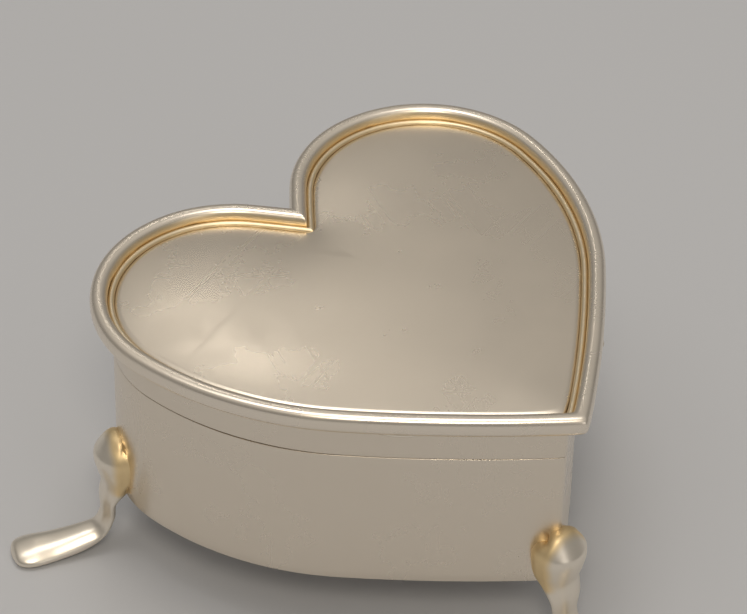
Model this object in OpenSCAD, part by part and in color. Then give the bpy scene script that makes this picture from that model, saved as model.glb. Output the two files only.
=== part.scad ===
// Heart-shaped trinket box: a flat heart lid with a moulded rim, hinged on a straight-sided body
// that stands on three cabriole legs. +Z is up, the tip of the heart points to -Y, the ground is Z = 0.

/* [Heart outline over the rim] */
// Width over the rim, lobe to lobe
lid_w = 65; // [58:1:84]
// Radius of each lobe
lobe_r = 16.9; // [15:0.1:20.5]
// Radius of the side next to the lobe
side_r = 40.2; // [33:0.1:49]
// Radius of the long flank that runs to the tip
flank_r = 180; // [150:1:220]
// Radius of the shoulder that runs into the notch
shoulder_r = 140; // [115:1:170]
// Direction in which lobe and side meet, in degrees
side_turn = -6; // [-8:1:0]
// Direction in which side and flank meet, in degrees
flank_turn = -43.7; // [-46:0.1:-41]
// Direction in which lobe and shoulder meet, in degrees
shoulder_turn = 138.8; // [134:0.1:142]

/* [Body] */
// Height of the body's wall
body_h = 19.5; // [16:0.1:30]
// Thickness of the wall
wall_t = 0.9; // [0.7:0.05:1.4]
// How far the rim stands out past the wall
overhang = 2.6; // [2.1:0.1:3.2]
// Thickness of the base plate
base_t = 0.8; // [0.5:0.1:1.5]
// How far the base plate is set up inside the wall
base_recess = 0.3; // [0.1:0.1:0.6]
// How far the bezel stands up into the lid
bezel_up = 2; // [1:0.1:2.6]
// How far the bezel reaches down inside the wall
bezel_down = 3; // [2:0.1:5]
// Thickness of the bezel
bezel_t = 0.5; // [0.4:0.05:0.8]
// Clearance between the bezel and the lid's skirt
bezel_gap = 0.2; // [0.15:0.05:0.3]

/* [Lid] */
// Height of the lid's skirt under the rim
skirt_h = 5.1; // [4.6:0.1:8]
// Gap between body and lid at the parting line
parting_gap = 0.1; // [0.06:0.02:0.2]
// Width of the rim's bead
bead_w = 2.1; // [1.9:0.05:2.4]
// Height of the rim's bead
bead_h = 2.6; // [2.3:0.05:3.1]
// How square the bead's section is, 2 for an oval
bead_square = 2.5; // [2:0.1:4]
// Thickness of the ledge under the bead
ledge_t = 0.35; // [0.25:0.05:0.5]
// Radius of the wire inside the bead
wire_r = 0.4; // [0.3:0.02:0.5]
// Thickness of the panel's sheet
sheet_t = 0.4; // [0.3:0.05:0.5]
// Distance from the rim's edge to the raised field of the panel
field_in = 3.3; // [3.2:0.1:4.5]
// Height of the raised field at its middle, over the panel's sheet
field_rise = 1.55; // [1.3:0.05:1.8]
// Radius of the dome that the raised field follows
dome_r = 600; // [500:5:900]

/* [Hinge] */
// Direction from the side's centre to the hinge, in degrees
hinge_turn = -39; // [-40:1:-24]
// Length of the barrel
barrel_len = 18; // [14:0.5:26]
// Number of knuckles
knuckles = 5; // [3:2:7]
// Radius of the knuckles
barrel_r = 1; // [0.9:0.05:1.4]
// Radius of the pin
pin_r = 0.5; // [0.4:0.05:0.7]
// Running clearance between pin and knuckle
pin_gap = 0.03; // [0.02:0.01:0.06]
// Gap between one knuckle and the next
knuckle_gap = 0.1; // [0.08:0.01:0.2]
// Clearance between a barrel and whatever turns past it
barrel_gap = 0.1; // [0.08:0.01:0.2]
// Height of each leaf along the wall
leaf_h = 3.2; // [2.4:0.1:4.5]
// Radius and thickness of the pin's peened heads
head_r = 0.75; // [0.65:0.05:1]
head_t = 0.3; // [0.2:0.05:0.5]

/* [Thumb lip] */
// Direction from the flank's centre to the middle of the lip, in degrees
lip_turn = -46; // [-48.5:0.1:-45]
// Length of the lip along the wall
lip_len = 9.6; // [7:0.1:14]
// How far the lip stands out from the skirt
lip_out = 1.7; // [1.2:0.1:3.6]
// Thickness of the lip
lip_t = 0.6; // [0.5:0.1:1.5]

/* [Legs] */
// Height of the body's underside above the ground
leg_h = 9.4; // [8.5:0.1:13]
// Height of the knee above the body's underside
knee_h = 7.5; // [6:0.1:10]
// Width of the knee
knee_w = 7.2; // [5.5:0.1:8.5]
// How far the knee bulges from the wall
knee_out = 3.1; // [2.6:0.1:4]
// Width of the shin
shin_w = 3.8; // [3:0.1:4.5]
// Thickness of the shin
shin_t = 1.4; // [1.2:0.1:2]
// How far the shin's centre line stands out from the wall
shin_out = 1.7; // [1.4:0.1:2.4]
// How far the toe reaches out from the wall
foot_out = 14; // [11:0.5:18]
// Width of the foot near the toe
foot_w = 5; // [4:0.1:6]
// Thickness of the foot
foot_t = 1.8; // [1.4:0.1:2.2]
// Depth of the flat that is filed under the foot
sole_cut = 0.25; // [0.15:0.05:0.4]
// Direction of each side leg, forward or back of straight out, in degrees
leg_turn = 25.5; // [10:0.5:40]

/* [Lining] */
// Thickness of the padded lining on the wall
lining_t = 1.2; // [0.8:0.1:2]
// Thickness of the floor pad
floor_pad_t = 3; // [2:0.1:4.5]
// Thickness of the lid pad
lid_pad_t = 2.3; // [1.5:0.1:2.6]
// Clearance round each pad
pad_gap = 0.1; // [0.05:0.05:0.3]

/* [Hidden] */

// Heights
body_z = leg_h;
part_z = body_z + body_h;
skirt_z = part_z + parting_gap;
rim_z = skirt_z + skirt_h;
bead_z = rim_z + (ledge_t + bead_h) / 2;
sheet_z = rim_z + ledge_t;
field_z = sheet_z + sheet_t;
floor_z = body_z + base_recess + base_t;

// Offsets from the rim's outline, minus is inwards
wall_off = -overhang;
inner_off = wall_off - wall_t;
skirt_t = wall_t - bezel_gap;
skirt_in = wall_off - skirt_t;
sheet_off = -bead_w - pad_gap;

// Centres of the right half's arcs
lobe_c = [lid_w / 2 - lobe_r, 0];
side_c = lobe_c - (side_r - lobe_r) * dir(side_turn);
flank_c = side_c - (flank_r - side_r) * dir(flank_turn);
shoulder_c = lobe_c - (shoulder_r - lobe_r) * dir(shoulder_turn);

// Chords along each arc
flank_n = 4;
side_n = 9;
lobe_n = 30;
shoulder_n = 2;
arc_fn = 180;
round_fn = 64;
big = 200;

// Middle of the whole object, which becomes the origin
toe_y = tip_y(wall_off) - foot_out;
mid_y = (toe_y + lobe_r) / 2;
dome_y = tip_y(0) / 4;

function dir(a) = [cos(a), sin(a)];
function tip_y(off) = flank_c.y - sqrt(pow(flank_r + off, 2) - pow(flank_c.x, 2));
function notch_y(off) = shoulder_c.y + sqrt(pow(shoulder_r + off, 2) - pow(shoulder_c.x, 2));
function tip_turn(off) = -acos(-flank_c.x / (flank_r + off));
function notch_turn(off) = acos(-shoulder_c.x / (shoulder_r + off));
function arc_pts(c, r, a0, a1, n) = [for (i = [0 : n - 1]) c + r * dir(a0 + (a1 - a0) * i / n)];

// The rim's outline moved in or out by an offset: the right half runs from tip to notch
function half_pts(off) = concat(
  arc_pts(flank_c, flank_r + off, tip_turn(off), flank_turn, flank_n),
  arc_pts(side_c, side_r + off, flank_turn, side_turn, side_n),
  arc_pts(lobe_c, lobe_r + off, side_turn, shoulder_turn, lobe_n),
  arc_pts(shoulder_c, shoulder_r + off, shoulder_turn, notch_turn(off), shoulder_n),
  [[0, notch_y(off)]]
);
function outline(off) = let (half = half_pts(off))
  concat(half, [for (i = [len(half) - 2 : -1 : 1]) [-half[i].x, half[i].y]]);

// Carries a closed profile round the heart: each of its points is [offset, height]
module moulding(profile) {
  rings = [for (p = profile) [for (q = outline(p.x)) [q.x, q.y, p.y]]];
  m = len(rings);
  n = len(rings[0]);
  polyhedron(
    points = [for (r = rings, q = r) q],
    faces = [for (i = [0 : m - 1], k = [0 : n - 1]) let (j = (i + 1) % m, l = (k + 1) % n)
      [i * n + k, j * n + k, j * n + l, i * n + l]]
  );
}

// A band from one offset to another, and a whole plate
module heart_band(off_in, off_out, z0, z1) {
  translate([0, 0, z0]) linear_extrude(z1 - z0) difference() {
    polygon(outline(off_out));
    polygon(outline(off_in));
  }
}
module heart_plate(off, z0, z1) {
  translate([0, 0, z0]) linear_extrude(z1 - z0) polygon(outline(off));
}

// Moves the heart's own axes to the object's
module placed() { translate([0, -mid_y, 0]) children(); }

module body_wall() {
  color([0.66, 0.61, 0.55]) placed() heart_band(inner_off, wall_off, body_z, part_z);
}
module base_plate() {
  color([0.6, 0.56, 0.5]) placed() heart_plate(inner_off, body_z + base_recess, floor_z);
}
module body_bezel() {
  color([0.7, 0.66, 0.6]) placed()
    heart_band(inner_off - bezel_t, inner_off, part_z - bezel_down, part_z + bezel_up);
}

// Legs: a ring of points is carried down a curve through these stations, each
// [distance out from the wall, height, half depth, half width]
foot_z = foot_t / 2 - sole_cut;
knee_in = 2.6;
leg_stations = [
  [-0.9, body_z + knee_h, 0.4, 0.12 * knee_w],
  [0.1, body_z + 0.93 * knee_h, 1.5, 0.31 * knee_w],
  [(knee_out - knee_in) / 2, body_z + 0.72 * knee_h, (knee_out + knee_in) / 2, 0.46 * knee_w],
  [0.2, body_z + 0.42 * knee_h, knee_in, 0.5 * knee_w],
  [0.5, body_z + 0.08 * knee_h, 1.9, 0.43 * knee_w],
  [0.8 * shin_out, body_z - 2, 0.65 * shin_t, 0.62 * shin_w],
  [shin_out, foot_z + 4.2, shin_t / 2, shin_w / 2],
  [shin_out + 1.2, foot_z + 1.9, 0.55 * shin_t, shin_w / 2],
  [0.38 * foot_out, foot_z + 0.8, foot_t / 2, 0.4 * foot_w],
  [0.62 * foot_out, foot_z + 0.2, foot_t / 2, 0.46 * foot_w],
  [0.84 * foot_out, foot_z, foot_t / 2, 0.5 * foot_w],
  [0.96 * foot_out, foot_z, 0.4 * foot_t, 0.38 * foot_w],
  [foot_out, foot_z, 0.08, 0.12 * foot_w]
];
leg_steps = 4;
leg_sides = 20;

// A smooth curve through the stations, by Catmull and Rom's rule
function station(i) = leg_stations[max(0, min(len(leg_stations) - 1, i))];
function between(i, t) = 0.5 * (2 * station(i)
  + t * (station(i + 1) - station(i - 1))
  + t * t * (2 * station(i - 1) - 5 * station(i) + 4 * station(i + 1) - station(i + 2))
  + t * t * t * (3 * station(i) - station(i - 1) - 3 * station(i + 1) + station(i + 2)));
leg_curve = [
  for (i = [0 : len(leg_stations) - 2], k = [0 : leg_steps - 1]) between(i, k / leg_steps),
  station(len(leg_stations) - 1)
];
function unit(v) = v / norm(v);
function leg_ring(i) = let (
    last = len(leg_curve) - 1,
    p = leg_curve[i],
    step = leg_curve[min(last, i + 1)] - leg_curve[max(0, i - 1)],
    along = unit([step[0], step[1]])
  ) [for (k = [0 : leg_sides - 1]) let (a = 360 * k / leg_sides) [
    p[0] + along.y * p[2] * cos(a), p[3] * sin(a), p[1] - along.x * p[2] * cos(a)
  ]];
module leg_shape() {
  rings = [for (i = [0 : len(leg_curve) - 1]) leg_ring(i)];
  n = leg_sides;
  last = len(rings) - 1;
  difference() {
    polyhedron(
      points = [for (r = rings, p = r) p],
      faces = concat(
        [[for (k = [0 : n - 1]) k]],
        [for (i = [0 : last - 1], k = [0 : n - 1])
          [i * n + k, (i + 1) * n + k, (i + 1) * n + (k + 1) % n, i * n + (k + 1) % n]],
        [[for (k = [n - 1 : -1 : 0]) last * n + k]]
      ));
    translate([-big / 2, -big / 2, -big]) cube(big);
  }
}

// A leg at a point on the wall, pointing out in a direction, cut to sit on the wall
module leg_at(at, turn) {
  color([0.9, 0.85, 0.76]) placed() difference() {
    translate([at.x, at.y, 0]) rotate(turn) leg_shape();
    heart_plate(wall_off, body_z, part_z);
  }
}
module leg_left() {
  leg_at([-lobe_c.x, 0] + (lobe_r + wall_off) * dir(180 - leg_turn), 180 - leg_turn);
}
module leg_right() { leg_at(lobe_c + (lobe_r + wall_off) * dir(leg_turn), leg_turn); }
module leg_front() { leg_at([0, tip_y(wall_off)], -90); }

// Hinge: +X runs along the barrel, +Y out from the wall and +Z up, from the middle of the pin
hinge_at = side_c + (side_r + wall_off + barrel_r + barrel_gap) * dir(hinge_turn);
knuckle_pitch = (barrel_len + knuckle_gap) / knuckles;
knuckle_len = knuckle_pitch - knuckle_gap;
bore_r = pin_r + pin_gap;
leaf_in = 8;
hinge_z = part_z + parting_gap / 2;

module hinged() {
  placed() translate([hinge_at.x, hinge_at.y, hinge_z]) rotate(hinge_turn - 90) children();
}
module rod(r, x0, x1) {
  translate([x0, 0, 0]) rotate([0, 90, 0]) cylinder(r = r, h = x1 - x0, $fn = round_fn);
}
function knuckle_x(i) = i * knuckle_pitch - barrel_len / 2;

// Knuckles are counted from the front, and the even ones are the body's
module knuckle(i) {
  hinged() difference() {
    rod(barrel_r, knuckle_x(i), knuckle_x(i) + knuckle_len);
    rod(bore_r, knuckle_x(i) - 1, knuckle_x(i) + knuckle_len + 1);
  }
}
module knuckles_from(first, last) { for (i = [first : 2 : last]) knuckle(i); }

// A leaf fills the space between wall and barrel on one side of the parting line
module leaf(up, own) {
  difference() {
    hinged() mirror([0, 0, up ? 0 : 1]) rotate([90, 0, 90]) translate([0, 0, -barrel_len / 2])
      linear_extrude(barrel_len) polygon([
        [-leaf_in, parting_gap / 2], [0, parting_gap / 2], [barrel_r / 2, barrel_r * 0.85],
        [barrel_r / 2 - 0.2, leaf_h / 2 + 0.2], [-barrel_r, leaf_h], [-leaf_in, leaf_h]
      ]);
    placed() heart_plate(wall_off, part_z - 2 * leaf_h, part_z + 2 * leaf_h);
    hinged() rod(barrel_r, -barrel_len, barrel_len);
    hinged() for (i = [0 : knuckles - 1]) if (i % 2 != own)
      rod(barrel_r + barrel_gap, knuckle_x(i) - knuckle_gap, knuckle_x(i) + knuckle_len + knuckle_gap);
  }
}
module hinge_leaf_body() { color([0.72, 0.66, 0.58]) leaf(false, 0); }
module hinge_leaf_lid() { color([0.75, 0.69, 0.6]) leaf(true, 1); }
module hinge_knuckle_body_front() { color([0.7, 0.64, 0.56]) knuckle(0); }
module hinge_knuckle_body_middle() { color([0.7, 0.64, 0.56]) knuckles_from(2, knuckles - 3); }
module hinge_knuckle_body_back() { color([0.7, 0.64, 0.56]) knuckle(knuckles - 1); }
module hinge_knuckle_lid_front() { color([0.78, 0.72, 0.62]) knuckle(1); }
module hinge_knuckle_lid_back() { color([0.78, 0.72, 0.62]) knuckles_from(3, knuckles - 2); }
module hinge_pin() {
  color([0.55, 0.5, 0.45]) hinged() {
    rod(pin_r, -barrel_len / 2 - head_t / 2, barrel_len / 2 + head_t / 2);
    rod(head_r, -barrel_len / 2 - head_t, -barrel_len / 2);
    rod(head_r, barrel_len / 2, barrel_len / 2 + head_t);
  }
}

// Linings
module wall_lining() {
  color([0.32, 0.07, 0.13]) placed()
    heart_band(inner_off - lining_t, inner_off, floor_z, part_z - bezel_down);
}
module floor_pad() {
  color([0.36, 0.08, 0.15]) placed()
    heart_plate(inner_off - lining_t - pad_gap, floor_z, floor_z + floor_pad_t);
}
module lid_pad() {
  color([0.85, 0.76, 0.66]) placed() heart_plate(skirt_in - pad_gap, sheet_z - lid_pad_t, sheet_z);
}

// Lid
module lid_skirt() {
  color([0.68, 0.63, 0.56]) placed() heart_band(skirt_in, wall_off, skirt_z, rim_z);
}
bead_n = 16;
bead_start = -75;
bead_end = 205;
function bend(v) = sign(v) * pow(abs(v), 2 / bead_square);
bead_pts = [for (i = [0 : bead_n - 1]) let (a = bead_start + (bead_end - bead_start) * i / bead_n)
  [bead_w / 2 * (bend(cos(a)) - 1), bead_z + bead_h / 2 * bend(sin(a))]];
rim_profile = concat(
  [[skirt_in, rim_z], [-bead_w / 2, rim_z]], bead_pts,
  [[-bead_w, sheet_z], [skirt_in, sheet_z]]
);
module rim_moulding() { color([0.85, 0.78, 0.66]) placed() moulding(rim_profile); }

wire_n = 8;
wire_at = [-bead_w - wire_r, field_z + wire_r];
module rim_wire() {
  color([0.8, 0.7, 0.52]) placed() moulding(arc_pts(wire_at, wire_r, 0, 360, wire_n));
}

// The panel is a sheet that rests on the rim's ledge, raised to a shallow dome inside the rim.
// The dome is turned from chords of its arc. The sheet's hollow stays inside the lid pad's edge,
// so that the pad bears on the sheet all round.
dome_steps = 12;
pad_lap = 0.3;
hollow_off = min(-field_in - sheet_t, skirt_in - pad_gap - pad_lap);
module dome(top_z) {
  translate([0, dome_y, 0]) rotate_extrude($fn = arc_fn) polygon(concat(
    [[0, body_z], [lid_w, body_z]],
    [for (i = [dome_steps : -1 : 0]) let (x = lid_w * i / dome_steps)
      [x, top_z - dome_r + sqrt(dome_r * dome_r - x * x)]]
  ));
}
module lid_panel() {
  color([0.68, 0.63, 0.56]) placed() difference() {
    union() {
      heart_plate(sheet_off, sheet_z, field_z);
      intersection() {
        heart_plate(-field_in, sheet_z, field_z + 2 * field_rise);
        dome(field_z + field_rise);
      }
    }
    intersection() {
      heart_plate(hollow_off, sheet_z - 1, field_z + 2 * field_rise);
      dome(field_z + field_rise - sheet_t);
    }
  }
}

// The thumb lip is a round slip soldered under the rim, against the skirt
module thumb_lip() {
  lip_r = (pow(lip_len / 2, 2) + pow(lip_out, 2)) / (2 * lip_out);
  out = dir(180 - lip_turn);
  at = [-flank_c.x, flank_c.y] + (flank_r + wall_off + lip_out - lip_r) * out;
  color([0.85, 0.78, 0.66]) placed() difference() {
    translate([at.x, at.y, rim_z - lip_t]) cylinder(r = lip_r, h = lip_t, $fn = round_fn);
    heart_plate(wall_off, skirt_z, rim_z + 1);
  }
}

body_wall();
base_plate();
body_bezel();
leg_left();
leg_right();
leg_front();
hinge_leaf_body();
hinge_knuckle_body_front();
hinge_knuckle_body_middle();
hinge_knuckle_body_back();
hinge_pin();
wall_lining();
floor_pad();
lid_skirt();
lid_panel();
rim_moulding();
rim_wire();
thumb_lip();
hinge_leaf_lid();
hinge_knuckle_lid_front();
hinge_knuckle_lid_back();
lid_pad();
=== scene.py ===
import math
import bpy
import numpy as np
from mathutils import Matrix, Vector


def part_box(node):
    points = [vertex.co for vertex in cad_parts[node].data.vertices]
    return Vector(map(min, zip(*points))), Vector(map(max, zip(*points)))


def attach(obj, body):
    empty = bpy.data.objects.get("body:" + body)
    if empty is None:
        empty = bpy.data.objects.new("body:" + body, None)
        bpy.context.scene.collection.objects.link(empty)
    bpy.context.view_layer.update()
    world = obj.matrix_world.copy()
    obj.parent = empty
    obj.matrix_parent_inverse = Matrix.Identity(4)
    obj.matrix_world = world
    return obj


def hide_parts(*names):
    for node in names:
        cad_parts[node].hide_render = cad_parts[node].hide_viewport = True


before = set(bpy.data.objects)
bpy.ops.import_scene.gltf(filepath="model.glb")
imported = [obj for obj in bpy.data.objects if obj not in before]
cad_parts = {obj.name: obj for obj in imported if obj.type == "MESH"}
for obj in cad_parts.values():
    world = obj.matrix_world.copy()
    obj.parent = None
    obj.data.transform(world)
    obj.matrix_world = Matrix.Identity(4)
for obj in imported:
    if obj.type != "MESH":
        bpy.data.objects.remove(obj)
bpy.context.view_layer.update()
print("stage: frame loaded")

# Everything below is worked out in millimetres and goes into the meshes in metres
mm = 0.001


def nodeBox(node):
    low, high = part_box(node)
    return np.array(low) / mm, np.array(high) / mm


wallLow, wallHigh = nodeBox("body_wall")
skirtLow, skirtHigh = nodeBox("lid_skirt")
rimLow, rimHigh = nodeBox("rim_moulding")
bezelLow, bezelHigh = nodeBox("body_bezel")
liningLow, liningHigh = nodeBox("wall_lining")
floorPadLow, floorPadHigh = nodeBox("floor_pad")
lidPadLow, lidPadHigh = nodeBox("lid_pad")
panelLow = nodeBox("lid_panel")[0]
lipLow, lipHigh = nodeBox("thumb_lip")

# Heart outline over the rim: its radii, and the directions in degrees where the arcs meet
heart = {
    "width": 65.0, "lobe": 16.9, "side": 40.2, "flank": 180.0, "shoulder": 140.0,
    "sideTurn": -6.0, "flankTurn": -43.7, "shoulderTurn": 138.8,
    "tipSoft": 0.35, "notchSoft": 0.1,
}
# Offsets inwards from that outline
inset = {"wall": 2.6, "wallThick": 0.9, "skirtThick": 0.7, "bezelThick": 0.5, "lining": 1.2,
         "padGap": 0.1, "sheet": 2.2, "field": 3.3}
originY = rimHigh[1] - heart["lobe"]


def heading(degrees):
    return np.array([math.cos(math.radians(degrees)), math.sin(math.radians(degrees))])


# Each arc's centre lies back along the line on which the two arcs touch
lobeCentre = np.array([heart["width"] / 2 - heart["lobe"], 0.0])
sideCentre = lobeCentre - (heart["side"] - heart["lobe"]) * heading(heart["sideTurn"])
flankCentre = sideCentre - (heart["flank"] - heart["side"]) * heading(heart["flankTurn"])
shoulderCentre = lobeCentre - (heart["shoulder"] - heart["lobe"]) * heading(heart["shoulderTurn"])


def heartGrid(offsets, detail=1.0):
    # Right half: four arcs in turn, each point is centre + (radius + offset) (cos a, sin a).
    # Near tip and notch x becomes sqrt(x^2 - soft^2), which rounds the corner a little.
    # The left half is its mirror image. Offsets are minus inwards; result is [along, offset, xy].
    offsets = np.atleast_1d(np.asarray(offsets, float))
    tip = -np.arccos((heart["tipSoft"] - flankCentre[0]) / (heart["flank"] + offsets))
    notch = np.arccos((heart["notchSoft"] - shoulderCentre[0]) / (heart["shoulder"] + offsets))
    flat = np.ones_like(offsets)
    turns = [flat * math.radians(heart[k]) for k in ("flankTurn", "sideTurn", "shoulderTurn")]
    plan = (
        (flankCentre, heart["flank"], tip, turns[0], 60, lambda t: t ** 1.8),
        (sideCentre, heart["side"], turns[0], turns[1], 50, lambda t: t),
        (lobeCentre, heart["lobe"], turns[1], turns[2], 90, lambda t: t),
        (shoulderCentre, heart["shoulder"], turns[2], notch, 24, lambda t: 1 - (1 - t) ** 1.8),
    )
    rows = []
    for centre, radius, start, end, count, ease in plan:
        count = max(3, int(count * detail))
        t = ease(np.arange(count) / count)[:, None]
        angle = start + (end - start) * t
        rows.append(np.stack([centre[0] + (radius + offsets) * np.cos(angle),
                              centre[1] + (radius + offsets) * np.sin(angle)], -1))
    last = np.stack([shoulderCentre[0] + (heart["shoulder"] + offsets) * np.cos(notch),
                     shoulderCentre[1] + (heart["shoulder"] + offsets) * np.sin(notch)], -1)
    half = np.vstack(rows + [last[None]])
    soft = np.where(half[..., 1] < shoulderCentre[1] / 6, heart["tipSoft"], heart["notchSoft"])
    half[..., 0] = np.sqrt(np.maximum(half[..., 0] ** 2 - soft ** 2, 0))
    left = half[1:-1][::-1] * (-1, 1)
    grid = np.vstack([half, left])
    grid[..., 1] += originY
    return grid


def lengthAlong(points):
    # Distance travelled along a closed line of points
    steps = np.linalg.norm(np.roll(points, -1, 0) - points, axis=-1)
    return np.concatenate([[0.0], np.cumsum(steps)[:-1]]), steps.sum()


def meshFromGrid(name, points, closeU=True, closeV=True, capU=False, marks=None):
    # points[u, v] is joined to its neighbours as quads; a capped end closes on its own middle
    nu, nv = points.shape[:2]
    u, v = np.meshgrid(np.arange(nu if closeU else nu - 1), np.arange(nv if closeV else nv - 1),
                       indexing="ij")
    u2, v2 = (u + 1) % nu, (v + 1) % nv
    quads = np.stack([u * nv + v, u2 * nv + v, u2 * nv + v2, u * nv + v2], -1).reshape(-1, 4)
    verts = points.reshape(-1, 3)
    faces = [quads]
    if capU:
        ring = np.arange(nv)
        nextRing = (ring + 1) % nv
        first, last = points[0].mean(0), points[-1].mean(0)
        verts = np.vstack([verts, first, last])
        low, high = nu * nv, nu * nv + 1
        base = (nu - 1) * nv
        faces.append(np.stack([nextRing, np.full(nv, low), ring, ring], -1))
        faces.append(np.stack([base + ring, np.full(nv, high), base + nextRing, base + ring], -1))
    loops, starts = [], []
    total = 0
    for k, group in enumerate(faces):
        size = 4 if k == 0 else 3
        loops.append(group[:, :size].ravel())
        starts.append(total + size * np.arange(len(group)))
        total += size * len(group)
    loops, starts = np.concatenate(loops), np.concatenate(starts)
    mesh = bpy.data.meshes.new(name)
    mesh.vertices.add(len(verts))
    mesh.vertices.foreach_set("co", (verts * mm).astype(np.float32).ravel())
    mesh.loops.add(len(loops))
    mesh.loops.foreach_set("vertex_index", loops.astype(np.int32))
    mesh.polygons.add(len(starts))
    mesh.polygons.foreach_set("loop_start", starts.astype(np.int32))
    mesh.update(calc_edges=True)
    mesh.validate()
    mesh.shade_smooth()
    for key, values in (marks or {}).items():
        values = np.broadcast_to(values, (nu, nv)).ravel()
        values = np.concatenate([values, np.full(len(verts) - nu * nv, values[0])])
        mark = mesh.attributes.new(key, "FLOAT", "POINT")
        mark.data.foreach_set("value", values.astype(np.float32))
    thing = bpy.data.objects.new(name, mesh)
    bpy.context.scene.collection.objects.link(thing)
    return thing


def unevenness(points, seed, size, depth, count=40):
    # A sum of soft round dents: each is depth * exp(-(distance / size)^2), some in and some out
    rng = np.random.default_rng(seed)
    flat = points.reshape(-1, 3)
    low, high = flat.min(0), flat.max(0)
    total = np.zeros(len(flat))
    for centre, amount, reach in zip(rng.uniform(low, high, (count, 3)),
                                     rng.uniform(-depth, depth, count),
                                     rng.uniform(0.6 * size, 1.5 * size, count)):
        total += amount * np.exp(-((flat - centre) ** 2).sum(1) / reach ** 2)
    return total.reshape(points.shape[:2])


def sweepHeart(name, profile, detail=1.0, marks=None, dents=None):
    # A closed profile of [offset, height] points carried round the heart.
    # Dents move the offsets, so that the surface moves along its own normal in plan.
    profile = np.asarray(profile, float)
    plan = heartGrid(profile[:, 0], detail)
    heights = np.broadcast_to(profile[:, 1], plan.shape[:2])
    points = np.dstack([plan, heights])
    if dents is not None:
        outer = heartGrid(profile[:, 0] + 1.0, detail) - plan
        shift = unevenness(points, *dents)
        shift *= dentMask(profile)[None, :]
        points[..., :2] += outer * shift[..., None]
    return meshFromGrid(name, points, marks=marks)


def dentMask(profile):
    # Only the outer skin is dented: 1 on the outermost offsets, 0 inside
    offset = profile[:, 0]
    return np.clip((offset - offset.min()) / max(np.ptp(offset), 1e-6) * 2 - 0.9, 0, 1)


def roundedBox(offIn, offOut, low, high, radius, rows=14, corner=4):
    # Outline of a thin wall, from the outer foot up, over and down inside, with rounded edges
    turn = np.linspace(0, math.pi / 2, corner)
    radius = min(radius, (offOut - offIn) / 2.01, (high - low) / 2.01)

    def bend(cx, cz, start):
        return np.stack([cx + radius * np.cos(turn + start), cz + radius * np.sin(turn + start)], -1)

    up = np.linspace(low + radius, high - radius, rows + 2)[1:-1]
    quarter = math.pi / 2
    return np.vstack([
        bend(offOut - radius, low + radius, -quarter),
        np.stack([np.full(rows, offOut), up], -1),
        bend(offOut - radius, high - radius, 0),
        bend(offIn + radius, high - radius, quarter),
        np.stack([np.full(rows, offIn), up[::-1]], -1),
        bend(offIn + radius, low + radius, 2 * quarter),
    ])


def groupSocket(group, name, kind, output=False, value=None):
    socket = group.interface.new_socket(name=name, in_out="OUTPUT" if output else "INPUT",
                                        socket_type=kind)
    if value is not None:
        socket.default_value = value
    return socket


def mathNode(tree, operation, a, b=None, clamp=False):
    node = tree.nodes.new("ShaderNodeMath")
    node.operation = operation
    node.use_clamp = clamp
    for socket, value in zip(node.inputs, (a, b)):
        if value is None:
            continue
        if hasattr(value, "is_output"):
            tree.links.new(value, socket)
        else:
            socket.default_value = value
    return node.outputs[0]


def noiseNode(tree, vector, scale, detail=3.0, rough=0.55):
    node = tree.nodes.new("ShaderNodeTexNoise")
    node.inputs["Scale"].default_value = scale
    node.inputs["Detail"].default_value = detail
    node.inputs["Roughness"].default_value = rough
    tree.links.new(vector, node.inputs["Vector"])
    return node.outputs["Fac"]


def rampNode(tree, value, low, high):
    # 0 below low, 1 above high, smooth between
    node = tree.nodes.new("ShaderNodeMapRange")
    node.interpolation_type = "SMOOTHSTEP"
    node.inputs["From Min"].default_value = low
    node.inputs["From Max"].default_value = high
    tree.links.new(value, node.inputs["Value"])
    return node.outputs["Result"]


def stretched(tree, vector, scale, turn):
    # Coordinates turned and then stretched along one direction, so that noise becomes hairlines
    node = tree.nodes.new("ShaderNodeMapping")
    node.vector_type = "TEXTURE"
    node.inputs["Rotation"].default_value = turn
    node.inputs["Scale"].default_value = [1 / value for value in scale]
    tree.links.new(vector, node.inputs["Vector"])
    return node.outputs["Vector"]


def mixColour(tree, fac, a, b):
    node = tree.nodes.new("ShaderNodeMix")
    node.data_type = "RGBA"
    factor, first, second = node.inputs[0], node.inputs[6], node.inputs[7]
    for socket, value in ((factor, fac), (first, a), (second, b)):
        if hasattr(value, "is_output"):
            tree.links.new(value, socket)
        else:
            socket.default_value = value
    return node.outputs[2]


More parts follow.
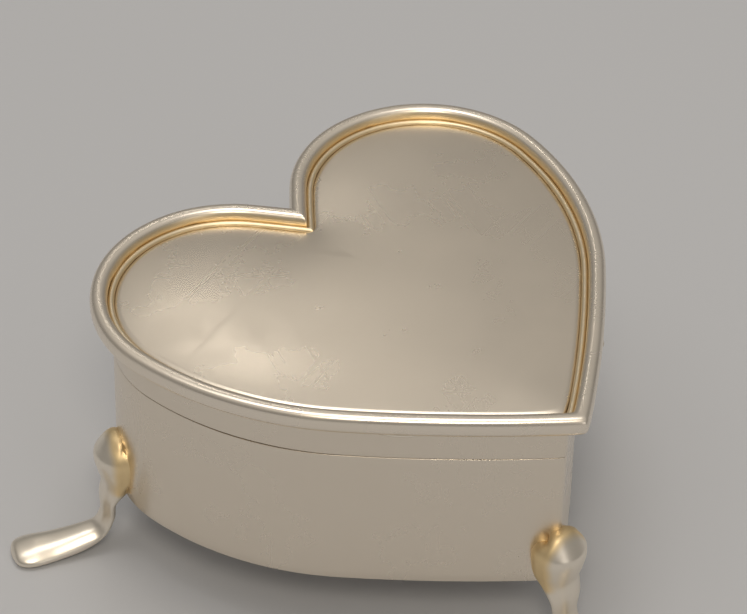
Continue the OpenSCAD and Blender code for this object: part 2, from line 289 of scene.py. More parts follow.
def silverWearGroup():
    # Hairlines, handling haze and tarnish, which gathers where the mesh's mark is high: gold, then
    # brown; the same mark also gives painted shade under the rim and a painted golden reflection on the
    # rim's inner side
    group = bpy.data.node_groups.new("silverWear", "ShaderNodeTree")
    groupSocket(group, "Clean", "NodeSocketColor", value=(0.8, 0.75, 0.68, 1))
    groupSocket(group, "Toned And Painted Light", "NodeSocketColor", value=(0.8, 0.6, 0.35, 1))
    groupSocket(group, "Tarnish", "NodeSocketColor", value=(0.2, 0.12, 0.06, 1))
    groupSocket(group, "Tarnish And Painted Light", "NodeSocketFloat", value=0.0)
    groupSocket(group, "Tarnish Amount", "NodeSocketFloat", value=0.5)
    groupSocket(group, "Smooth", "NodeSocketFloat", value=0.2)
    groupSocket(group, "Haze", "NodeSocketFloat", value=0.12)
    groupSocket(group, "Hairlines", "NodeSocketFloat", value=0.5)
    groupSocket(group, "Color", "NodeSocketColor", output=True)
    groupSocket(group, "Roughness", "NodeSocketFloat", output=True)
    groupSocket(group, "Height", "NodeSocketFloat", output=True)
    enter, leave = group.nodes.new("NodeGroupInput"), group.nodes.new("NodeGroupOutput")
    where = group.nodes.new("ShaderNodeTexCoord").outputs["Object"]
    lines = None
    for turn, scale in ((0.3, 1.0), (1.25, 1.3), (-0.7, 0.8)):
        vector = stretched(group, where, (12 * scale, 1500 * scale, 12 * scale), (0, 0.05, turn))
        one = rampNode(group, noiseNode(group, vector, 1.0, 0.0, 0.5), 0.66, 0.86)
        lines = one if lines is None else mathNode(group, "MAXIMUM", lines, one)
    lines = mathNode(group, "MULTIPLY", lines, enter.outputs["Hairlines"])
    cloud = noiseNode(group, where, 90, 4.0, 0.6)
    fine = noiseNode(group, where, 500, 1.0, 0.5)
    spots = rampNode(group, noiseNode(group, where, 300, 2.0, 0.6), 0.6, 0.75)
    patchy = rampNode(group, cloud, 0.35, 0.75)
    stainAndPaintedLight = mathNode(group, "MULTIPLY", patchy, 0.16)
    stainAndPaintedLight = mathNode(group, "ADD", stainAndPaintedLight, mathNode(group, "MULTIPLY", spots, 0.12))
    stainAndPaintedLight = mathNode(group, "MULTIPLY", stainAndPaintedLight, enter.outputs["Tarnish Amount"])
    broken = mathNode(group, "ADD", mathNode(group, "MULTIPLY", fine, 0.5), 0.72)
    # The mesh's mark brings in tarnish in hollows, and also painted shade under the rim and a painted
    # golden reflection on the rim's inner side
    deep = mathNode(group, "MULTIPLY", enter.outputs["Tarnish And Painted Light"], broken, clamp=True)
    stainAndPaintedLight = mathNode(group, "ADD", stainAndPaintedLight, deep, clamp=True)
    colour = mixColour(group, rampNode(group, stainAndPaintedLight, 0.0, 0.45), enter.outputs["Clean"],
                       enter.outputs["Toned And Painted Light"])
    colour = mixColour(group, rampNode(group, stainAndPaintedLight, 0.4, 1.0), colour, enter.outputs["Tarnish"])
    rough = mathNode(group, "MULTIPLY", patchy, enter.outputs["Haze"])
    rough = mathNode(group, "ADD", rough, enter.outputs["Smooth"])
    rough = mathNode(group, "ADD", rough, mathNode(group, "MULTIPLY", lines, 0.12))
    rough = mathNode(group, "ADD", rough, mathNode(group, "MULTIPLY", stainAndPaintedLight, 0.25), clamp=True)
    height = mathNode(group, "MULTIPLY", fine, 0.25)
    height = mathNode(group, "SUBTRACT", height, lines)
    group.links.new(colour, leave.inputs["Color"])
    group.links.new(rough, leave.inputs["Roughness"])
    group.links.new(height, leave.inputs["Height"])
    return group


silverWear = silverWearGroup()


def silverMaterial(name, look):
    # Metal with the shared wear; the mark on the mesh says where tarnish gathers, and also where shade
    # and a golden reflection are painted
    material = bpy.data.materials.new(name)
    material.use_nodes = True
    tree = material.node_tree
    shader = tree.nodes["Principled BSDF"]
    shader.inputs["Metallic"].default_value = 1.0
    shader.inputs["IOR"].default_value = 1.5
    wear = tree.nodes.new("ShaderNodeGroup")
    wear.node_tree = silverWear
    for key in ("Clean", "Toned And Painted Light", "Tarnish", "Tarnish Amount", "Smooth", "Haze", "Hairlines"):
        wear.inputs[key].default_value = look[key]
    if look.get("marked"):
        hollow = tree.nodes.new("ShaderNodeAttribute")
        hollow.attribute_name = "hollow"
        tree.links.new(hollow.outputs["Fac"], wear.inputs["Tarnish And Painted Light"])
    bump = tree.nodes.new("ShaderNodeBump")
    bump.inputs["Strength"].default_value = look["bump"]
    bump.inputs["Distance"].default_value = 0.00002
    tree.links.new(wear.outputs["Height"], bump.inputs["Height"])
    tree.links.new(wear.outputs["Color"], shader.inputs["Base Color"])
    tree.links.new(wear.outputs["Roughness"], shader.inputs["Roughness"])
    tree.links.new(bump.outputs["Normal"], shader.inputs["Normal"])
    return material


silverLooks = {
    "sheetSilver": {"Clean": (0.81, 0.73, 0.62, 1), "Toned And Painted Light": (0.72, 0.60, 0.44, 1),
                    "Tarnish": (0.26, 0.17, 0.10, 1), "Tarnish Amount": 0.25, "Smooth": 0.26,
                    "Haze": 0.07, "Hairlines": 0.2, "bump": 0.01, "marked": True},
    # The moulded silver's toned colour is brighter and more golden than its clean one: on the rim's
    # inner side it is a painted reflection
    "mouldedSilver": {"Clean": (0.87, 0.79, 0.68, 1), "Toned And Painted Light": (0.90, 0.73, 0.46, 1),
                      "Tarnish": (0.16, 0.09, 0.04, 1), "Tarnish Amount": 0.3, "Smooth": 0.24,
                      "Haze": 0.08, "Hairlines": 0.2, "bump": 0.05, "marked": True},
    "castSilver": {"Clean": (0.89, 0.82, 0.71, 1), "Toned And Painted Light": (0.90, 0.70, 0.40, 1),
                   "Tarnish": (0.20, 0.12, 0.06, 1), "Tarnish Amount": 0.35, "Smooth": 0.29,
                   "Haze": 0.10, "Hairlines": 0.25, "bump": 0.15, "marked": True},
    "fittingSilver": {"Clean": (0.74, 0.68, 0.60, 1), "Toned And Painted Light": (0.62, 0.48, 0.32, 1),
                      "Tarnish": (0.22, 0.14, 0.08, 1), "Tarnish Amount": 0.7, "Smooth": 0.28,
                      "Haze": 0.16, "Hairlines": 0.5, "bump": 0.4, "marked": False},
    "pinWire": {"Clean": (0.60, 0.56, 0.50, 1), "Toned And Painted Light": (0.5, 0.4, 0.28, 1),
                "Tarnish": (0.2, 0.13, 0.08, 1), "Tarnish Amount": 0.9, "Smooth": 0.3,
                "Haze": 0.15, "Hairlines": 0.5, "bump": 0.4, "marked": False},
}
silver = {name: silverMaterial(name, look) for name, look in silverLooks.items()}
print("stage: silver finishes made")


def fitPiece(thing, body, slot, material, *nodes):
    # Every new piece rides on a body, takes a finish and stands for its CAD nodes
    thing.data.materials.clear()
    thing.data.materials.append(material)
    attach(thing, body)
    if nodes:
        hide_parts(*nodes)
    return thing


# Straight walls: a rounded strip carried round the heart
walls = {"edge": 0.07, "bezelEdge": 0.12, "dentSize": 9.0, "dentDepth": 0.05, "paintedShadeHigh": 0.9,
         "stainAndPaintedLight": 0.5, "wallDents": 60, "skirtDents": 40, "shortRows": 6}
wallIn = -inset["wall"] - inset["wallThick"]
wallProfile = roundedBox(wallIn, -inset["wall"], wallLow[2], wallHigh[2], walls["edge"])
bodyWall = sweepHeart("bodyWall", wallProfile, marks={"hollow": 0.0},
                      dents=(3, walls["dentSize"], walls["dentDepth"], walls["wallDents"]))
fitPiece(bodyWall, "body", "silver_sheet", silver["sheetSilver"], "body_wall")

skirtIn = -inset["wall"] - inset["skirtThick"]
skirtProfile = roundedBox(skirtIn, -inset["wall"], skirtLow[2], skirtHigh[2], walls["edge"],
                          rows=walls["shortRows"])
# The skirt is painted darker close under the rim: painted shade from the rim's overhang
underRim = (skirtProfile[:, 1] - skirtHigh[2] + walls["paintedShadeHigh"]) / walls["paintedShadeHigh"]
skirtPaintedShade = np.clip(underRim, 0, 1) * walls["stainAndPaintedLight"]
lidSkirt = sweepHeart("lidSkirt", skirtProfile, marks={"hollow": skirtPaintedShade[None, :]},
                      dents=(4, walls["dentSize"], walls["dentDepth"], walls["skirtDents"]))
fitPiece(lidSkirt, "lid", "silver_sheet", silver["sheetSilver"], "lid_skirt")

bezelProfile = roundedBox(wallIn - inset["bezelThick"], wallIn, bezelLow[2], bezelHigh[2],
                          walls["bezelEdge"], rows=walls["shortRows"])
bodyBezel = sweepHeart("bodyBezel", bezelProfile)
fitPiece(bodyBezel, "body", "silver_fittings", silver["fittingSilver"], "body_bezel")

# Rim: a squarish bead on a ledge, a little beaten, with a painted golden reflection on its inner side
# and painted shade on its under side
bead = {"wide": 2.1, "high": 2.6, "start": -75.0, "end": 205.0, "points": 44, "square": 2.5,
        "ledge": 0.35, "lumpSize": 0.8, "lumpDepth": 0.09, "lumps": 500, "dentSize": 4.0,
        "dentDepth": 0.05, "dents": 90, "detail": 2.6, "paintedGlow": 0.38, "paintedUnderShade": 0.4,
        "innerFrom": 125.0, "innerOver": 30.0, "lobesFrom": 8.0, "foot": 0.15, "footIn": 0.1}
beadZ = rimLow[2] + (bead["ledge"] + bead["high"]) / 2
beadTurn = np.linspace(math.radians(bead["start"]), math.radians(bead["end"]), bead["points"])
power = 2 / bead["square"]
across = np.sign(np.cos(beadTurn)) * np.abs(np.cos(beadTurn)) ** power
upward = np.sign(np.sin(beadTurn)) * np.abs(np.sin(beadTurn)) ** power
beadPart = np.stack([bead["wide"] / 2 * (across - 1), beadZ + bead["high"] / 2 * upward], -1)
ledgeZ = rimLow[2] + bead["ledge"]
beadMiddle, beadInner = -bead["wide"] / 2, beadPart[-1, 0]
rimProfile = np.vstack([
    [[skirtIn, rimLow[2]], [(skirtIn + beadMiddle) / 2, rimLow[2]], [beadMiddle, rimLow[2]]],
    beadPart,
    [[beadInner, ledgeZ + bead["foot"]], [beadInner - bead["footIn"], ledgeZ], [skirtIn, ledgeZ]],
])
# Direction of each point round the bead in degrees, 0 outwards and 90 up
turnMark = np.zeros(len(rimProfile))
turnMark[3:-3] = np.degrees(beadTurn)
turnMark[-3:] = bead["end"]
innerSide = np.clip((turnMark - bead["innerFrom"]) / bead["innerOver"], 0, 1)
underSide = np.clip((-20 - turnMark) / 40, 0, 1) * (turnMark != 0)
rimPlan = heartGrid(rimProfile[:, 0], bead["detail"])
rimPoints = np.dstack([rimPlan, np.broadcast_to(rimProfile[:, 1], rimPlan.shape[:2])])
onLobes = np.clip((rimPlan[..., 1] - (originY - bead["lobesFrom"])) / bead["lobesFrom"], 0, 1)
lumps = unevenness(rimPoints, 17, bead["lumpSize"], bead["lumpDepth"], bead["lumps"])
lumps = lumps * innerSide[None, :] * onLobes
towardsOut = heartGrid(rimProfile[:, 0] + 1.0, bead["detail"]) - rimPlan
rimDents = unevenness(rimPoints, 8, bead["dentSize"], bead["dentDepth"], bead["dents"])
rimDents *= (turnMark > -60)[None, :]
rimPoints[..., :2] += towardsOut * (lumps + np.minimum(rimDents, 0))[..., None]
# Painted light on the rim: gold toning on the inner side stands for warm light bounced between rim and
# panel, and the bead's under side is painted darker as shade
rimPaintedLight = np.clip(bead["paintedGlow"] * innerSide + bead["paintedUnderShade"] * underSide, 0, 1)
rimMoulding = meshFromGrid("rimMoulding", rimPoints, marks={"hollow": rimPaintedLight[None, :]})
fitPiece(rimMoulding, "lid", "silver_wire", silver["mouldedSilver"], "rim_moulding")

# Wire: a round section in the corner between the bead and the panel's sheet
wire = {"radius": 0.4, "points": 18, "sheet": 0.4}
wireTurn = np.linspace(0, 2 * math.pi, wire["points"], endpoint=False)
wireMiddle = np.array([-bead["wide"] - wire["radius"],
                       panelLow[2] + wire["sheet"] + wire["radius"]])
wireProfile = wireMiddle + wire["radius"] * np.stack([np.cos(wireTurn), np.sin(wireTurn)], -1)
wireMark = np.clip(0.3 - 0.4 * np.cos(wireTurn - 0.5), 0.25, 0.55)
rimWire = sweepHeart("rimWire", wireProfile, detail=1.5, marks={"hollow": wireMark[None, :]})
fitPiece(rimWire, "lid", "silver_wire", silver["mouldedSilver"], "rim_wire")
print("stage: walls, rim and wire made")

# Panel: rings of points run in from the edge to the middle, over a lip and a shallow pillow
panel = {"sheet": 0.4, "lipIn": 4.1, "lipRise": 0.62, "rise": 0.95, "reach": 9.0,
         "ringIn": 6.5, "rings": 46, "lipStart": 0.5, "tipSoft": 0.3, "tipReach": 2.6,
         "dentSize": 8.0, "dentDepth": 0.035, "dents": 50, "middle": (0.0, -7.5),
         "underEvery": 6, "stainAt": 3, "stainOver": 6, "stainAndPaintedLight": 0.5}
panelMiddle = np.array([panel["middle"][0], panel["middle"][1] + originY])


def softDistance(points, outline):
    # Distance inwards from the edge, blended over the whole edge so that it has no ridges:
    # the integral of 1 / distance^3 along the edge is 2 / d^2 beside a straight edge
    step = np.linalg.norm(np.roll(outline, -1, 0) - outline, axis=1)
    total = np.zeros(len(points))
    for part in np.array_split(np.arange(len(outline)), 24):
        gap = ((points[:, None] - outline[None, part]) ** 2).sum(-1)
        total += (step[part] * np.maximum(gap, 0.02) ** -1.5).sum(1)
    return np.sqrt(2 / total)


def panelHeight(plan):
    # Up from the cove by a rounded lip, then a pillow that flattens towards the middle
    shape = plan.shape[:-1]
    edge = heartGrid([-inset["sheet"]])[:, 0]
    away = softDistance(plan.reshape(-1, 2), edge).reshape(shape)
    # The corner at the tip is rounded further
    fromTip = np.linalg.norm(plan - edge[0], axis=-1)
    away = away * (1 - panel["tipSoft"] * np.exp(-(fromTip / panel["tipReach"]) ** 2))
    cove = panelLow[2] + panel["sheet"]
    start = inset["field"] - inset["sheet"]
    t = np.clip((away - start + panel["lipStart"]) / (panel["lipIn"] - inset["field"]), 0, 1)
    lip = panel["lipRise"] * np.sqrt(1 - (1 - t) ** 2)
    pillow = panel["rise"] * (1 - np.exp(-np.maximum(away - start, 0) / panel["reach"]))
    return cove + lip + pillow


# Rings lie close together over the lip and wider apart further in
lipEnd, bandEnd = 1.7, panel["ringIn"] - inset["sheet"]
bandIn = -inset["sheet"] - np.concatenate([
    np.linspace(0, 0.55, 6)[:-1], np.linspace(0.55, lipEnd, 18)[:-1], np.linspace(lipEnd, bandEnd, 14)])
band = heartGrid(bandIn)
inner = band[:, -1]
shrink = np.linspace(0, 1, panel["rings"] + 1)[1:-1]
core = panelMiddle + (inner - panelMiddle)[:, None] * (1 - shrink)[None, :, None]
topPlan = np.concatenate([band, core], 1)
top = np.dstack([topPlan, panelHeight(topPlan)])
topDents = unevenness(top, 21, panel["dentSize"], panel["dentDepth"], panel["dents"])
# The lip's own rings stay free of dents
top[..., 2] += topDents * np.clip(np.arange(top.shape[1]) / 30 - 0.7, 0, 1)
underPlan = topPlan[:, ::-panel["underEvery"]]
under = np.dstack([underPlan, np.full(underPlan.shape[:2], panelLow[2])])
panelPoints = np.concatenate([under, top], 1).transpose(1, 0, 2)
panelSteps = np.concatenate([np.full(under.shape[1], 20.0), np.arange(top.shape[1])])
fromCove = np.abs(panelSteps - panel["stainAt"]) / panel["stainOver"]
coveMark = panel["stainAndPaintedLight"] * np.clip(1.15 - fromCove, 0, 1)
lidPanel = meshFromGrid("lidPanel", panelPoints, closeU=False, closeV=True, capU=True,
                        marks={"hollow": coveMark[:, None]})
fitPiece(lidPanel, "lid", "silver_sheet", silver["sheetSilver"], "lid_panel")
print("stage: panel made")

# Legs: an oval ring with a ridge along its front is carried down a smooth curve
leg = {"kneeOut": 3.1, "kneeIn": 2.6, "kneeHigh": 7.5, "kneeWide": 7.2, "shin": 1.4,
       "shinWide": 3.8, "shinOut": 1.7, "footOut": 14.0, "footWide": 5.5, "foot": 2.2,
       "soleCut": 0.3, "turn": 25.5, "wing": 0.3, "wingOver": 2.0, "ridge": 0.32,
       "ridgeWide": 0.3, "ridgeOver": 6.0, "toeOver": 3.0, "rings": 12, "around": 56,
       "into": 0.45, "lump": 0.22, "lumpSize": 1.1, "lumps": 400, "tone": 0.45, "sideSlope": 0.78}


def legStations(low):
    # Each station is [out from the wall, height, half depth, half width]
    footZ = leg["foot"] / 2 - leg["soleCut"]
    high, wide, shin, out = leg["kneeHigh"], leg["kneeWide"], leg["shin"], leg["footOut"]
    shinWide, shinOut, foot, footWide = leg["shinWide"], leg["shinOut"], leg["foot"], leg["footWide"]
    return np.array([
        [-0.9, low + high, 0.4, 0.12 * wide],
        [0.1, low + 0.93 * high, 1.5, 0.31 * wide],
        [(leg["kneeOut"] - leg["kneeIn"]) / 2, low + 0.72 * high,
         (leg["kneeOut"] + leg["kneeIn"]) / 2, 0.46 * wide],
        [0.2, low + 0.42 * high, leg["kneeIn"], 0.46 * wide],
        [0.5, low + 0.1 * high, 1.7, 0.39 * wide],
        [0.9 * shinOut, low - 1.6, 0.62 * shin, 0.62 * shinWide],
        [shinOut, footZ + 4.2, shin / 2, shinWide / 2],
        [shinOut + 1.2, footZ + 1.9, 0.55 * shin, shinWide / 2],
        [0.38 * out, footZ + 0.8, foot / 2, 0.4 * footWide],
        [0.62 * out, footZ + 0.2, foot / 2, 0.46 * footWide],
        [0.84 * out, footZ, foot / 2, 0.5 * footWide],
        [0.96 * out, footZ, 0.4 * foot, 0.38 * footWide],
        [out, footZ, 0.08, 0.12 * footWide],
    ])


def smoothCurve(stations, steps):
    # Catmull and Rom's cubic through every station
    padded = np.vstack([stations[:1], stations, stations[-1:]])
    a, b, c, d = (padded[k:len(padded) - 3 + k, None] for k in range(4))
    t = (np.arange(steps) / steps)[None, :, None]
    curve = 0.5 * (2 * b + t * (c - a) + t ** 2 * (2 * a - 5 * b + 4 * c - d)
                   + t ** 3 * (3 * b - a - 3 * c + d))
    return np.vstack([curve.reshape(-1, stations.shape[1]), stations[-1:]])


wallLobe = heart["lobe"] - inset["wall"]


def legPiece(name, node, at, turn, cornerSpread):
    # cornerSpread is how fast the wall falls back to each side of the leg, 0 where it is flat
    curve = smoothCurve(legStations(wallLow[2]), leg["rings"])
    along = np.gradient(curve[:, :2], axis=0)
    along /= np.linalg.norm(along, axis=1)[:, None]
    angle = np.linspace(0, 2 * math.pi, leg["around"], endpoint=False)
    ridge = leg["ridge"] * np.exp(-((np.cos(angle) + 1) / leg["ridgeWide"]) ** 2)
    # The ridge fades out towards the knee's head and the toe
    down = np.clip((wallLow[2] + leg["ridgeOver"] - curve[:, 1]) / leg["ridgeOver"], 0, 1)
    toe = np.clip((leg["footOut"] - curve[:, 0]) / leg["toeOver"], 0, 1)
    reach = curve[:, 2:3] * np.cos(angle) - ridge * (down * toe)[:, None]
    out = curve[:, :1] + along[:, 1:2] * reach
    # The knee widens where it meets the wall
    atKnee = np.clip((curve[:, 1:2] - wallLow[2]) / leg["wingOver"], 0, 1)
    widen = 1 + leg["wing"] * atKnee * np.clip(np.cos(angle), 0, 1)
    side = curve[:, 3:4] * np.sin(angle) * widen
    up = curve[:, 1:2] - along[:, :1] * reach
    # Nothing goes deeper into the wall than just under its face
    back = -leg["into"] - np.abs(side) * cornerSpread - side ** 2 / (2 * wallLobe)
    onWall = np.clip((up - wallLow[2] + 0.4) / 0.8, 0, 1)
    out = np.where(onWall > 0, np.maximum(out, back - (1 - onWall) * 3), out)
    up = np.maximum(up, 0.0)
    way, aside = heading(turn), heading(turn + 90)
    plan = at + out[..., None] * way + side[..., None] * aside
    points = np.dstack([plan, up])
    # Solder and toning lie in lumps round the knee's root
    root = onWall * np.clip(1.4 - (out - 0.3) / 1.2, 0, 1)
    lumps = unevenness(points, 31, leg["lumpSize"], leg["lump"], leg["lumps"]) * root
    points += lumps[..., None] * np.array([way[0], way[1], 0.6])
    hollow = np.clip(leg["tone"] * root - 1.5 * np.minimum(lumps, 0), 0, 0.9)
    thing = meshFromGrid(name, points, closeU=False, capU=True, marks={"hollow": hollow})
    return fitPiece(thing, "body", "silver_cast", silver["castSilver"], node)


lobeAt = lobeCentre + (0, originY)
tipAt = heartGrid([-inset["wall"]])[0, 0]
legPiece("legRight", "leg_right", lobeAt + wallLobe * heading(leg["turn"]), leg["turn"], 0.0)
legPiece("legLeft", "leg_left", lobeAt * (-1, 1) + wallLobe * heading(180 - leg["turn"]),
         180 - leg["turn"], 0.0)
legPiece("legFront", "leg_front", tipAt, -90, leg["sideSlope"])
print("stage: legs made")

# Thumb lip: a round slip, thickest against the skirt, with a soft edge
lip = {"turn": -46.0, "long": 9.6, "out": 1.7, "edge": 0.25, "rows": 10, "around": 90}


def thumbLipPiece():
    # Rings of one circle: in from the under side's middle, round the edge, and back over the top
    depth = lip["out"]
    radius = ((lip["long"] / 2) ** 2 + depth ** 2) / (2 * depth)
    outward = heading(180 - lip["turn"])
    reach = heart["flank"] - inset["wall"] + lip["out"] - radius
    centre = flankCentre * (-1, 1) + reach * outward + (0, originY)
    low, high = lipLow[2], lipHigh[2]
    bend = np.linspace(-math.pi / 2, math.pi / 2, 2 * lip["rows"])
    middle, half = (low + high) / 2, (high - low) / 2
    rings = np.stack([radius - lip["edge"] * (1 - np.cos(bend)), middle + half * np.sin(bend)], -1)
    flat = np.linspace(0.25, 0.95, 5)[:, None] * (rings[0, 0], 0)
    rings = np.vstack([flat + (0, rings[0, 1]), rings, flat[::-1] + (0, rings[-1, 1])])
    spread = np.linspace(-math.pi, math.pi, lip["around"], endpoint=False)
    plan = centre + rings[:, None, :1] * np.stack([np.cos(spread), np.sin(spread)], -1)[None]
    # What would lie inside the skirt is drawn back to the middle of its thickness
    inward = (plan - centre) @ outward
    limit = radius - depth - 0.3
    plan = plan + np.maximum(limit - inward, 0)[..., None] * outward
    points = np.dstack([plan, np.broadcast_to(rings[:, 1:2], plan.shape[:2])])
    hollow = np.clip(1 - (inward - limit) / 0.8, 0, 1) * 0.6
    thing = meshFromGrid("thumbLip", points, closeU=False, capU=True, marks={"hollow": hollow})
    return fitPiece(thing, "lid", "silver_cast", silver["castSilver"], "thumb_lip")


thumbLipPiece()

# Fittings keep their CAD shape and take a better finish
for node in ("base_plate", "hinge_leaf_body", "hinge_leaf_lid", "hinge_knuckle_body_front",
             "hinge_knuckle_body_middle", "hinge_knuckle_body_back", "hinge_knuckle_lid_front",
             "hinge_knuckle_lid_back"):
    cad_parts[node].data.materials.clear()
    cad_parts[node].data.materials.append(silver["fittingSilver"])
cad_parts["hinge_pin"].data.materials.clear()
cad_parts["hinge_pin"].data.materials.append(silver["pinWire"])


def clothMaterial(name, look):
    # Dyed cloth: fine threads or pile as bump, with faded and rubbed patches
    material = bpy.data.materials.new(name)
    material.use_nodes = True
    tree = material.node_tree
    shader = tree.nodes["Principled BSDF"]
    shader.inputs["Sheen Weight"].default_value = look["sheen"]
    shader.inputs["Sheen Roughness"].default_value = look["sheenRough"]
    shader.inputs["Sheen Tint"].default_value = look["sheenTint"]
    where = tree.nodes.new("ShaderNodeTexCoord").outputs["Object"]
    pile = noiseNode(tree, where, look["pileScale"], 3.0, 0.7)
    crush = noiseNode(tree, where, look["crushScale"], 3.0, 0.6)
    shade = mathNode(tree, "ADD", mathNode(tree, "MULTIPLY", rampNode(tree, crush, 0.35, 0.7), 0.6),
                     mathNode(tree, "MULTIPLY", pile, 0.4), clamp=True)
    tree.links.new(mixColour(tree, shade, look["deep"], look["light"]), shader.inputs["Base Color"])
    threads = stretched(tree, where, look["threads"], (0, 0, 0.4))
    weave = noiseNode(tree, threads, 1.0, 2.0, 0.5)
    height = mathNode(tree, "ADD", pile, mathNode(tree, "MULTIPLY", weave, look["threadDepth"]))
    bump = tree.nodes.new("ShaderNodeBump")
    bump.inputs["Strength"].default_value = look["bump"]
    bump.inputs["Distance"].default_value = 0.0001
    tree.links.new(height, bump.inputs["Height"])
    tree.links.new(bump.outputs["Normal"], shader.inputs["Normal"])
    rough = mathNode(tree, "ADD", mathNode(tree, "MULTIPLY", crush, 0.15), look["rough"])
    tree.links.new(rough, shader.inputs["Roughness"])
    return material


cloth = {
    "velvet": clothMaterial("claretVelvet", {
        "deep": (0.07, 0.006, 0.016, 1), "light": (0.22, 0.02, 0.05, 1), "sheen": 0.9,
        "sheenRough": 0.35, "sheenTint": (1.0, 0.45, 0.5, 1), "pileScale": 3200, "crushScale": 120,
        "threads": (900, 900, 900), "threadDepth": 0.4, "bump": 0.6, "rough": 0.75}),
    "silk": clothMaterial("creamSilk", {
        "deep": (0.50, 0.40, 0.28, 1), "light": (0.72, 0.62, 0.47, 1), "sheen": 0.35,
        "sheenRough": 0.3, "sheenTint": (1.0, 0.95, 0.85, 1), "pileScale": 1500, "crushScale": 60,
        "threads": (300, 5200, 300), "threadDepth": 1.2, "bump": 0.35, "rough": 0.34}),
}

# Pads: a heart-shaped slab is filled and swells against its own cloth, ten times full size
pads = {"scale": 10.0, "voxel": 0.012, "pressure": 4.0, "frames": 20, "cap": 0.012, "shrink": 0.35}


def padSlab(name, off, low, high, corner):
    # A slab with a rounded edge, made of rings that run in to its middle on both faces
    turn = np.linspace(-math.pi / 2, math.pi / 2, 9)
    half = (high - low) / 2
    offs = off - corner + corner * np.cos(turn)
    heights = (low + high) / 2 + half * np.sin(turn)
    edge = heartGrid(offs, 0.8)
    middle = np.array([0.0, originY - 7.5])
    shrink = np.linspace(0.06, 0.97, 16)[:, None, None]
    under = middle + (edge[:, 0] - middle)[None] * (1 - shrink)
    over = middle + (edge[:, -1] - middle)[None] * (1 - shrink)
    rings = np.concatenate([under[::-1], edge.transpose(1, 0, 2), over], 0)
    levels = np.concatenate([np.full(len(under), low), heights, np.full(len(over), high)])
    points = np.dstack([rings, np.broadcast_to(levels[:, None], rings.shape[:2])])
    return meshFromGrid(name, points, closeU=False, capU=True)


def swell(thing):
    # Voxel remesh, cloth with pressure and no gravity, a cap on how far a point may move,
    # then one subdivision
    def apply(kind, **values):
        modifier = thing.modifiers.new(kind, kind)
        for key, value in values.items():
            setattr(modifier, key, value)
        with bpy.context.temp_override(object=thing, active_object=thing):
            bpy.ops.object.modifier_apply(modifier=modifier.name)

    def places():
        flat = np.empty(len(thing.data.vertices) * 3, np.float32)
        thing.data.vertices.foreach_get("co", flat)
        return flat.reshape(-1, 3)

    def setPlaces(values):
        thing.data.vertices.foreach_set("co", values.astype(np.float32).ravel())
        thing.data.update()

    setPlaces(places() * pads["scale"])
    apply("REMESH", mode="VOXEL", voxel_size=pads["voxel"], use_smooth_shade=True)
    before = places()
    modifier = thing.modifiers.new("Cloth", "CLOTH")
    modifier.settings.use_pressure = True
    modifier.settings.uniform_pressure_force = pads["pressure"]
    modifier.settings.effector_weights.gravity = 0
    scene = bpy.context.scene
    for step in range(1, pads["frames"] + 1):
        scene.frame_set(step)
    settled = thing.evaluated_get(bpy.context.evaluated_depsgraph_get())
    after = np.empty(len(settled.data.vertices) * 3, np.float32)
    settled.data.vertices.foreach_get("co", after)
    thing.modifiers.remove(modifier)
    scene.frame_set(1)
    move = after.reshape(-1, 3) - before
    far = np.linalg.norm(move, axis=1)
    move *= np.minimum(1, pads["cap"] / np.maximum(far, 1e-9))[:, None]
    setPlaces((before + move) / pads["scale"])
    apply("SUBSURF", levels=1, render_levels=1)


def settle(thing, low, high):
    # A pad lies flat on what holds it and stays inside the space that it was cut for
    flat = np.empty(len(thing.data.vertices) * 3, np.float32)
    thing.data.vertices.foreach_get("co", flat)
    points = flat.reshape(-1, 3) / mm
    points[:, 2] = np.clip(points[:, 2], low, high)
    thing.data.vertices.foreach_set("co", (points * mm).astype(np.float32).ravel())
    thing.data.update()
    thing.data.shade_smooth()


def padPiece(name, off, low, high, corner, body, slot, material, node):
    gap = pads["shrink"]
    thing = padSlab(name, off - gap, low, high, corner)
    swell(thing)
    settle(thing, low, high)
    fitPiece(thing, body, slot, material, node)
    return thing


liningIn = wallIn - inset["lining"]
padPiece("floorPad", liningIn - inset["padGap"], floorPadLow[2], floorPadHigh[2], 1.2,
         "body", "velvet", cloth["velvet"], "floor_pad")
padPiece("lidPad", skirtIn - inset["padGap"], lidPadLow[2], lidPadHigh[2], 1.0,
         "lid", "silk", cloth["silk"], "lid_pad")
print("stage: pads made")

# Wall lining: cloth over thin padding, gathered a little at its head
lining = {"pucker": 0.16, "pitch": 2.9, "rows": 26, "hem": 0.25, "fullness": 0.45,
          "behind": 0.02, "corner": 2.0}
liningTurn = np.linspace(0, 1, lining["rows"])
liningFoot, liningTop = liningLow[2], liningHigh[2]
liningBulge = np.sin(liningTurn * math.pi) ** lining["fullness"]
liningFront = np.stack([wallIn - lining["hem"] - (inset["lining"] - lining["hem"]) * liningBulge,
                        liningFoot + (liningTop - liningFoot) * liningTurn], -1)
liningBack = wallIn - lining["behind"]
liningProfile = np.vstack([liningFront, [[liningBack, liningTop], [liningBack, liningFoot]]])
liningPlan = heartGrid(liningProfile[:, 0], lining["corner"])
liningAlong, liningRound = lengthAlong(liningPlan[:, 0])
gathers = max(8, round(liningRound / lining["pitch"]))
phase = 2 * math.pi * gathers * liningAlong / liningRound
swing = np.sin(phase) * 0.6 + np.sin(phase * 0.5 + 1.3) * 0.4
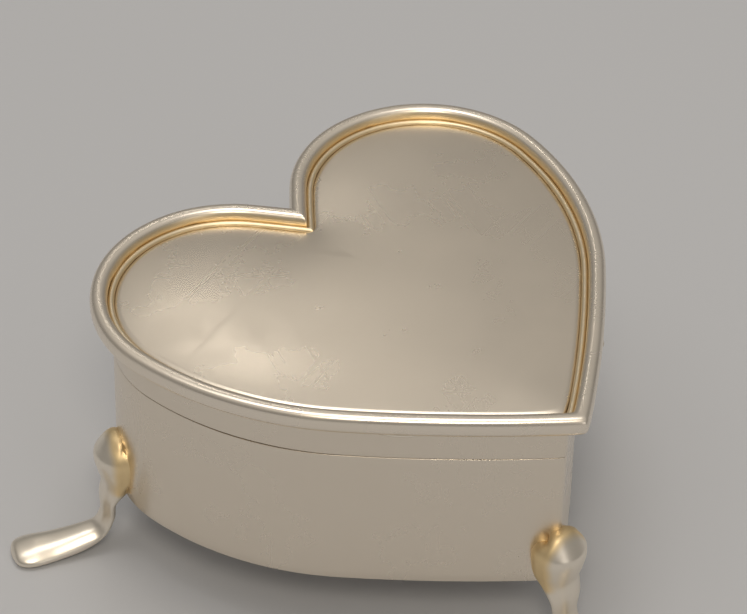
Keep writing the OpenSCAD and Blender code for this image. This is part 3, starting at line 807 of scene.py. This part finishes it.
# Gathers deepen towards the top edge; the two points at the back stay flat
headWeight = np.concatenate([(0.25 + 0.75 * liningTurn ** 2) * liningBulge, [0, 0]])
liningOutward = heartGrid(liningProfile[:, 0] + 1.0, lining["corner"]) - liningPlan
gatherDepth = lining["pucker"] * (swing[:, None] + 1) * headWeight[None]
liningPlan = liningPlan + liningOutward * gatherDepth[..., None]
liningPoints = np.dstack([liningPlan, np.broadcast_to(liningProfile[:, 1], liningPlan.shape[:2])])
wallLining = meshFromGrid("wallLining", liningPoints)
fitPiece(wallLining, "body", "velvet", cloth["velvet"], "wall_lining")
print("stage: lining made")

# Camera: placed by where it looks, how far off it is, and three turns
view = {"target": (-4.76, 6.25, 36.4), "away": 443.3, "azimuth": 42.592, "elevation": 39.906,
        "roll": 1.1765, "lens": 181.2}


def placeCamera():
    azimuth, elevation, roll = (math.radians(view[k]) for k in ("azimuth", "elevation", "roll"))
    look = Vector((math.cos(elevation) * math.sin(azimuth), math.cos(elevation) * math.cos(azimuth),
                   -math.sin(elevation)))
    levelRight = Vector((math.cos(azimuth), -math.sin(azimuth), 0))
    levelUp = levelRight.cross(look)
    right = levelRight * math.cos(roll) + levelUp * math.sin(roll)
    up = right.cross(look)
    camera = bpy.data.objects.new("camera", bpy.data.cameras.new("camera"))
    bpy.context.scene.collection.objects.link(camera)
    turn = Matrix((right, up, -look)).transposed()
    stand = (Vector(view["target"]) - look * view["away"]) * mm
    camera.matrix_world = Matrix.Translation(stand) @ turn.to_4x4()
    camera.data.lens = view["lens"]
    camera.data.sensor_width = 36
    camera.data.clip_start, camera.data.clip_end = 0.01, 20
    bpy.context.scene.camera = camera


placeCamera()

# Floor and light
studio = {
    "floorColour": (0.58, 0.59, 0.615, 1), "floorRough": 0.8, "floorSize": 1.6,
    "horizon": (0.24, 0.23, 0.215, 1), "zenith": (0.54, 0.515, 0.48, 1), "horizonTop": 0.25,
    "zenithFrom": 0.95,
    "lamps": (
        # name, from (azimuth, elevation), distance, size, watts, colour
        ("topLight", (0, 85), 1.0, 0.50, 1.7, (1.0, 0.96, 0.9)),
        ("keyLight", (-55, 64), 0.9, 0.25, 0.15, (1.0, 0.95, 0.88)),
        ("glintLight", (34, 46), 1.0, 0.07, 0.08, (1.0, 0.94, 0.86)),
        ("rearLight", (222, 52), 1.0, 0.24, 1.7, (1.0, 0.90, 0.76)),
        ("frontLight", (190, 18), 1.2, 0.50, 0.5, (1.0, 0.95, 0.9)),
    ),
}


def lightFrom(name, azimuth, elevation, away, size, watts, colour):
    # A round soft light that faces the object
    lamp = bpy.data.lights.new(name, "AREA")
    lamp.shape = "DISK"
    lamp.size, lamp.energy, lamp.color = size, watts, colour
    thing = bpy.data.objects.new(name, lamp)
    bpy.context.scene.collection.objects.link(thing)
    a, e = math.radians(azimuth), math.radians(elevation)
    way = Vector((math.sin(a) * math.cos(e), math.cos(a) * math.cos(e), math.sin(e)))
    thing.location = way * away
    thing.rotation_euler = way.to_track_quat("Z", "Y").to_euler()


def buildStudio():
    mesh = bpy.data.meshes.new("floor")
    half = studio["floorSize"]
    mesh.from_pydata([(-half, -half, 0), (half, -half, 0), (half, half, 0), (-half, half, 0)], [],
                     [(0, 1, 2, 3)])
    floor = bpy.data.objects.new("floor", mesh)
    bpy.context.scene.collection.objects.link(floor)
    material = bpy.data.materials.new("floorFelt")
    material.use_nodes = True
    shader = material.node_tree.nodes["Principled BSDF"]
    shader.inputs["Base Color"].default_value = studio["floorColour"]
    shader.inputs["Roughness"].default_value = studio["floorRough"]
    floor.data.materials.append(material)
    world = bpy.data.worlds.new("room")
    world.use_nodes = True
    tree = world.node_tree
    where = tree.nodes.new("ShaderNodeSeparateXYZ")
    tree.links.new(tree.nodes.new("ShaderNodeTexCoord").outputs["Generated"], where.inputs[0])
    height = rampNode(tree, where.outputs["Z"], studio["horizonTop"], studio["zenithFrom"])
    sky = mixColour(tree, height, studio["horizon"], studio["zenith"])
    tree.links.new(sky, tree.nodes["Background"].inputs["Color"])
    bpy.context.scene.world = world
    for name, (azimuth, elevation), *rest in studio["lamps"]:
        lightFrom(name, azimuth, elevation, *rest)


buildStudio()
bpy.context.scene.view_settings.view_transform = "Standard"
print("stage: studio made")
